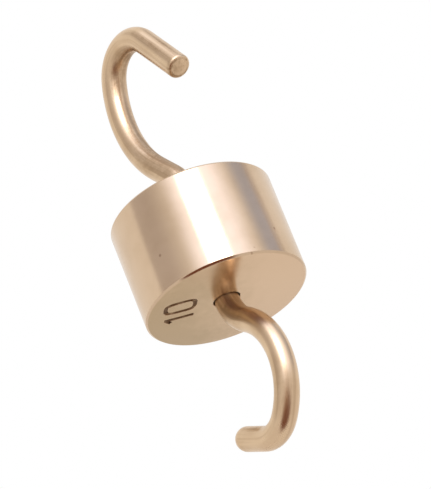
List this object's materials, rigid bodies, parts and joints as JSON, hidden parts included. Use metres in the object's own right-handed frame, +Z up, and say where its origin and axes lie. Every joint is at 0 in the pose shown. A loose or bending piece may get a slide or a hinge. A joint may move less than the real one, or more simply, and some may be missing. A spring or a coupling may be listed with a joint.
{
  "type": "double-hooked laboratory weight",
  "caption": "Solid turned brass cylinder with a bent wire hook screwed into each end face, for hanging on a scale or under another weight.",
  "frame": {"origin": "the seat: the point on the body's axis, at the height of the inside of the large hook's crown, where the weight hangs", "axes": "+Z up along the body's axis, towards the large hook; both hooks lie in the X-Z plane, the large one open towards +X and the small one towards -X"},
  "size_m": [0.0128, 0.0128, 0.0368],
  "materials": {
    "turned_brass": "polished turned brass with fine lathe marks",
    "wire_brass": "drawn brass wire, lightly polished, warm tarnish in the bends"
  },
  "bodies": {
    "root": {"weight_body": "turned_brass", "upper_hook": "wire_brass", "lower_hook": "wire_brass"}
  },
  "joints": []
}
